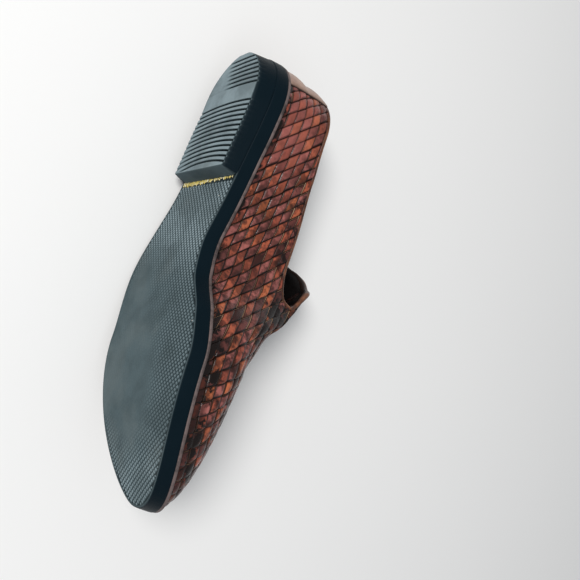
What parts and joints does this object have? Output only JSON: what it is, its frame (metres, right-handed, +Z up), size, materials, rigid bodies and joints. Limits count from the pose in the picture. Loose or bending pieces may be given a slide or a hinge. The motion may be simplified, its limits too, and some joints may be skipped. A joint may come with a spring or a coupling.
{
  "type": "woven leather loafer",
  "caption": "Low slip-on shoe for the left foot, lying on its outer side: hollow woven leather upper, bound topline, back strap, rubber outsole and ribbed heel block.",
  "frame": {"origin": "on the floor under the middle of the shoe's box", "axes": "+X from the heel to the toe, +Y from the sole to the mouth of the shoe, +Z up from the floor towards the inner side"},
  "size_m": [0.2904, 0.1162, 0.1101],
  "materials": {
    "sole_rubber": "matt, worn tread",
    "heel_rubber": "matt, worn ribs",
    "midsole_board": "matt edge",
    "insole_leather": "matt",
    "woven_leather": "burnished",
    "binding_leather": "burnished",
    "strap_leather": "burnished"
  },
  "bodies": {
    "root": {"outsole": "sole_rubber", "heel": "heel_rubber", "midsole": "midsole_board", "insole": "insole_leather", "upper": "woven_leather", "topline_binding": "binding_leather", "back_strap": "strap_leather"}
  },
  "joints": []
}
